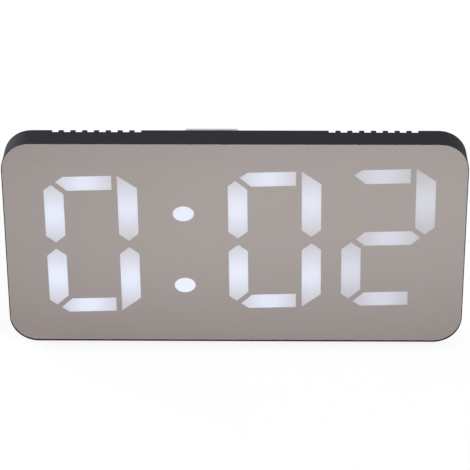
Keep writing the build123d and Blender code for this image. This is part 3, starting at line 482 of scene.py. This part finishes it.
def circuit_board(name):
    """Green solder mask over copper tracks that show as slightly raised, lighter lines."""
    shader = Shader(name)
    tracks = shader.add("ShaderNodeTexBrick", offset=0.5)
    tracks.inputs["Scale"].default_value = 1.0
    tracks.inputs["Mortar Size"].default_value = track_width
    tracks.inputs["Brick Width"].default_value = track_length
    tracks.inputs["Row Height"].default_value = track_pitch
    turned = shader.add("ShaderNodeMapping")
    turned.inputs["Rotation"].default_value = (math.radians(90), 0, 0)
    shader.link(shader.place, turned.inputs["Vector"])
    shader.link(turned.outputs["Vector"], tracks.inputs["Vector"])
    line = tracks.outputs["Fac"]
    shader.put("Base Color", shader.mix(line, board_colour, track_colour))
    shader.put("Roughness", shader.varied(shader.noise(board_patch_size), *board_roughness))
    shader.bump(line, board_relief)
    return shader.material


def ribbon(name, shades, rough):
    """Flat cable: ridges and faint seams between its conductors, which lie side by side along X."""
    shader = Shader(name)
    wave = shader.add("ShaderNodeTexWave", wave_type="BANDS", bands_direction="X")
    wave.inputs["Scale"].default_value = wave_period / conductor_pitch
    shader.link(shader.place, wave.inputs["Vector"])
    shader.put("Base Color", shader.mix(wave.outputs["Fac"], *shades))
    patches = shader.noise(ribbon_patch_size)
    shader.put("Roughness", shader.varied(patches, *spread_of(rough, ribbon_spread)))
    shader.bump(wave.outputs["Fac"], conductor_relief)
    return shader.material


def islands_of(mesh):
    """The separate closed pieces of a mesh, as lists of vertices."""
    unseen = set(mesh.verts)
    while unseen:
        island = []
        edge = [unseen.pop()]
        while edge:
            vertex = edge.pop()
            island.append(vertex)
            for link in vertex.link_edges:
                other = link.other_vert(vertex)
                if other in unseen:
                    unseen.discard(other)
                    edge.append(other)
        yield island


def copied(name):
    """The mesh of a CAD node, welded, to build a piece from."""
    mesh = bmesh.new()
    mesh.from_mesh(nodes[name].data)
    bmesh.ops.remove_doubles(mesh, verts=mesh.verts, dist=weld_distance)
    return mesh


def make_piece(name, mesh, materials, slot, *replaced):
    """Makes a piece of the object from a mesh, which rides on the clock and stands for CAD nodes."""
    data = bpy.data.meshes.new(name)
    mesh.to_mesh(data)
    mesh.free()
    for material in materials:
        data.materials.append(material)
    piece = bpy.data.objects.new(name, data)
    bpy.context.scene.collection.objects.link(piece)
    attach(piece, "clock")
    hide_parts(*replaced)


def make_lenses(name):
    """A group of lit lenses as the CAD has them, whose points keep their diode's place and its glow."""
    mesh = copied(name)
    diode_place = mesh.verts.layers.float_vector.new("diode_place")
    glow_share = mesh.verts.layers.float.new("glow_share")
    group_low, group_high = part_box(name)
    for island in islands_of(mesh):
        low = Vector(min(v.co[i] for v in island) for i in range(3))
        high = Vector(max(v.co[i] for v in island) for i in range(3))
        diode = (low + high) / 2
        rise = (diode.z - group_low.z) / (group_high.z - group_low.z)
        side = (diode.x - group_low.x) / (group_high.x - group_low.x)
        for vertex in island:
            vertex[diode_place] = diode
            vertex[glow_share] = 1 - top_loss_share * rise - right_loss_share * side
    make_piece(name + "_lit", mesh, [lit_lens(name + "_glow", lens_glow[name])], "lit_lens", name)


def make_mirror():
    """The panel as the CAD has it, silvered on its face only, so that light passes one mirror."""
    mesh = copied("mirror_panel")
    for face in mesh.faces:
        face.smooth = False
        face.material_index = 0 if face.normal.dot(outward) > least_forwards else 1
    make_piece("half_silvered_panel", mesh, [half_mirror(), clear_glass()], "half_mirror", "mirror_panel")


# The case and what shows on it
dress(moulded("charcoal_case", case_colour, rough=0.68, grain=0.6 * MM, depth=0.03 * MM, wear_and_sheen=2.0,
              shine=0.05),
      "rear_shell", "battery_tray", "battery_door")
dress(moulded("charcoal_frame", case_colour, rough=0.68, wear_and_sheen=1.1, shine=0.05), "front_frame")
dress(moulded("satin_buttons", button_colour, rough=0.5, depth=0.006 * MM, wear_and_sheen=1.6, shine=0.3),
      "set_button", "mode_button", "up_button", "down_button")
dress(moulded("pale_key", key_colour, rough=0.45, depth=0.006 * MM, wear_and_sheen=1.1, shine=0.3), "snooze_key")
dress(rubber("foot_rubber", foot_colour), "front_feet", "rear_feet")
dress(brushed("blackened_steel", screw_colour, rough=0.42), "case_screws", "board_screws")
dress(brushed("plated_nut", nut_colour, rough=0.3), "socket_nut")

# The display
make_mirror()
dress(moulded("black_film", dark_film_colour, rough=0.6, wear_and_sheen=1.0, shine=0.0), "segment_film")
dress(moulded("smoked_lens", dark_film_colour, rough=0.6, wear_and_sheen=1.0, shine=0.0), "unlit_segment_lenses")
dress(moulded("adhesive_tape", dark_film_colour, rough=0.8, wear_and_sheen=1.0, shine=0.0), "panel_tape")
dress(moulded("reflector_plastic", reflector_colour, rough=0.5), "reflector_frame")
for lens_group in lens_glow:
    make_lenses(lens_group)

# Boards and what stands on them
dress(circuit_board("green_board"), "led_board", "main_board", "snooze_board")
dress(moulded("moulded_epoxy", epoxy_colour, rough=0.6), "driver_transistors")
dress(moulded("switch_body", switch_colour, rough=0.5), "button_switches", "snooze_switch")
dress(moulded("switch_plunger", plunger_colour, rough=0.5),
      "set_plunger", "mode_plunger", "up_plunger", "down_plunger", "snooze_plunger")
dress(moulded("diode_body", diode_colour, rough=0.35), "segment_leds")
dress(moulded("sounder_body", sounder_colour, rough=0.55), "alarm_sounder")
dress(brushed("crystal_can", crystal_colour, rough=0.25), "quartz_crystal")
dress(brushed("spring_plate", contact_colour, rough=0.3), "battery_contacts")
dress(ribbon("ribbon", ribbon_shades, rough=0.5), "ribbon_cable")

# Bodies with plated ends or legs: material, node, colour, roughness, half length of the body, its direction
for material_name, node_name, body_colour, body_rough, half_body, direction in (
    ("led_driver_chip", "led_driver_chip", chip_colour, 0.5, 2.0 * MM, upward),
    ("clock_chip", "clock_chip", chip_colour, 0.5, 3.75 * MM, upward),
    ("chip_resistor", "chip_resistors", resistor_colour, 0.35, 0.55 * MM, upward),
    ("capacitor", "smoothing_capacitor", capacitor_colour, 0.35, 3.4 * MM, across),
    ("battery_cell_1", "battery_cell_1", cell_colour, 0.3, 21.2 * MM, across),
    ("battery_cell_2", "battery_cell_2", cell_colour, 0.3, 21.2 * MM, across),
    ("battery_cell_3", "battery_cell_3", cell_colour, 0.3, 21.2 * MM, across),
    ("power_socket", "power_socket", socket_colour, 0.45, 20 * MM, across),
):
    dress(plated_ends(material_name, node_name, body_colour, body_rough, half_body, direction), node_name)
dress(plated_ends("sensor", "temperature_sensor", sensor_colour, 0.35, 0.9 * MM, outward, metal_second=False),
      "temperature_sensor")
for leads in ("battery_leads", "socket_leads", "sounder_leads"):
    dress(wire_pair(leads), leads)


def seen_share(tree):
    """1 for what the camera sees, straight, in gloss or through clear pieces, and 0 for all other light."""
    path = tree.nodes.new("ShaderNodeLightPath")
    seen = path.outputs["Is Camera Ray"]
    for kind in ("Is Glossy Ray", "Is Transmission Ray"):
        either = tree.nodes.new("ShaderNodeMath")
        either.operation = "MAXIMUM"
        tree.links.new(seen, either.inputs[0])
        tree.links.new(path.outputs[kind], either.inputs[1])
        seen = either.outputs[0]
    return seen


def white_to_view(shader):
    """Leaves the floor's own shading to the light, and shows it to the camera as white with its shadows."""
    surface = shader.surface.outputs[0]
    glow = shader.add("ShaderNodeEmission")
    glow.inputs["Strength"].default_value = floor_white
    blank = shader.add("ShaderNodeEmission")
    blank.inputs["Strength"].default_value = 0.0
    held = shader.add("ShaderNodeMixShader")
    held.inputs["Fac"].default_value = floor_shadow_share
    shader.link(blank.outputs[0], held.inputs[1])
    shader.link(surface, held.inputs[2])
    both = shader.add("ShaderNodeAddShader")
    shader.link(glow.outputs[0], both.inputs[0])
    shader.link(held.outputs[0], both.inputs[1])
    chosen = shader.add("ShaderNodeMixShader")
    shader.link(seen_share(shader.tree), chosen.inputs["Fac"])
    shader.link(surface, chosen.inputs[1])
    shader.link(both.outputs[0], chosen.inputs[2])
    shader.link(chosen.outputs[0], shader.output.inputs[0])


def make_floor():
    """A plain pale floor that looks white and keeps the clock's shadow."""
    mesh = bmesh.new()
    bmesh.ops.create_grid(mesh, x_segments=1, y_segments=1, size=floor_side / 2)
    data = bpy.data.meshes.new("floor")
    mesh.to_mesh(data)
    mesh.free()
    floor = bpy.data.objects.new("floor", data)
    bpy.context.scene.collection.objects.link(floor)
    shader = Shader("pale_floor", roughness=floor_roughness)
    shader.put("Base Color", (floor_albedo,) * 3)
    shader.put("Specular IOR Level", 0.0)
    white_to_view(shader)
    data.materials.append(shader.material)


def make_world():
    """Even studio light from all round, seen as plain white."""
    world = bpy.data.worlds.new("studio")
    world.use_nodes = True
    tree = world.node_tree
    tree.nodes.clear()
    output = tree.nodes.new("ShaderNodeOutputWorld")
    light = tree.nodes.new("ShaderNodeBackground")
    light.inputs["Color"].default_value = (1, 1, 1, 1)
    light.inputs["Strength"].default_value = world_light
    white = tree.nodes.new("ShaderNodeBackground")
    white.inputs["Color"].default_value = (1, 1, 1, 1)
    chosen = tree.nodes.new("ShaderNodeMixShader")
    tree.links.new(seen_share(tree), chosen.inputs["Fac"])
    tree.links.new(light.outputs[0], chosen.inputs[1])
    tree.links.new(white.outputs[0], chosen.inputs[2])
    tree.links.new(chosen.outputs[0], output.inputs[0])
    bpy.context.scene.world = world


def make_lamps():
    """Soft square lamps that face the clock."""
    for name, facts in lamps.items():
        data = bpy.data.lights.new(name, "AREA")
        data.size = facts["size"]
        data.energy = facts["power"]
        lamp = bpy.data.objects.new(name, data)
        bpy.context.scene.collection.objects.link(lamp)
        place = Vector(facts["place"])
        turn = (place - front_middle).to_track_quat("Z", "Y").to_matrix()
        lamp.matrix_world = Matrix.Translation(place) @ turn.to_4x4()


make_floor()
make_world()
make_lamps()
bpy.context.scene.view_settings.view_transform = "Standard"
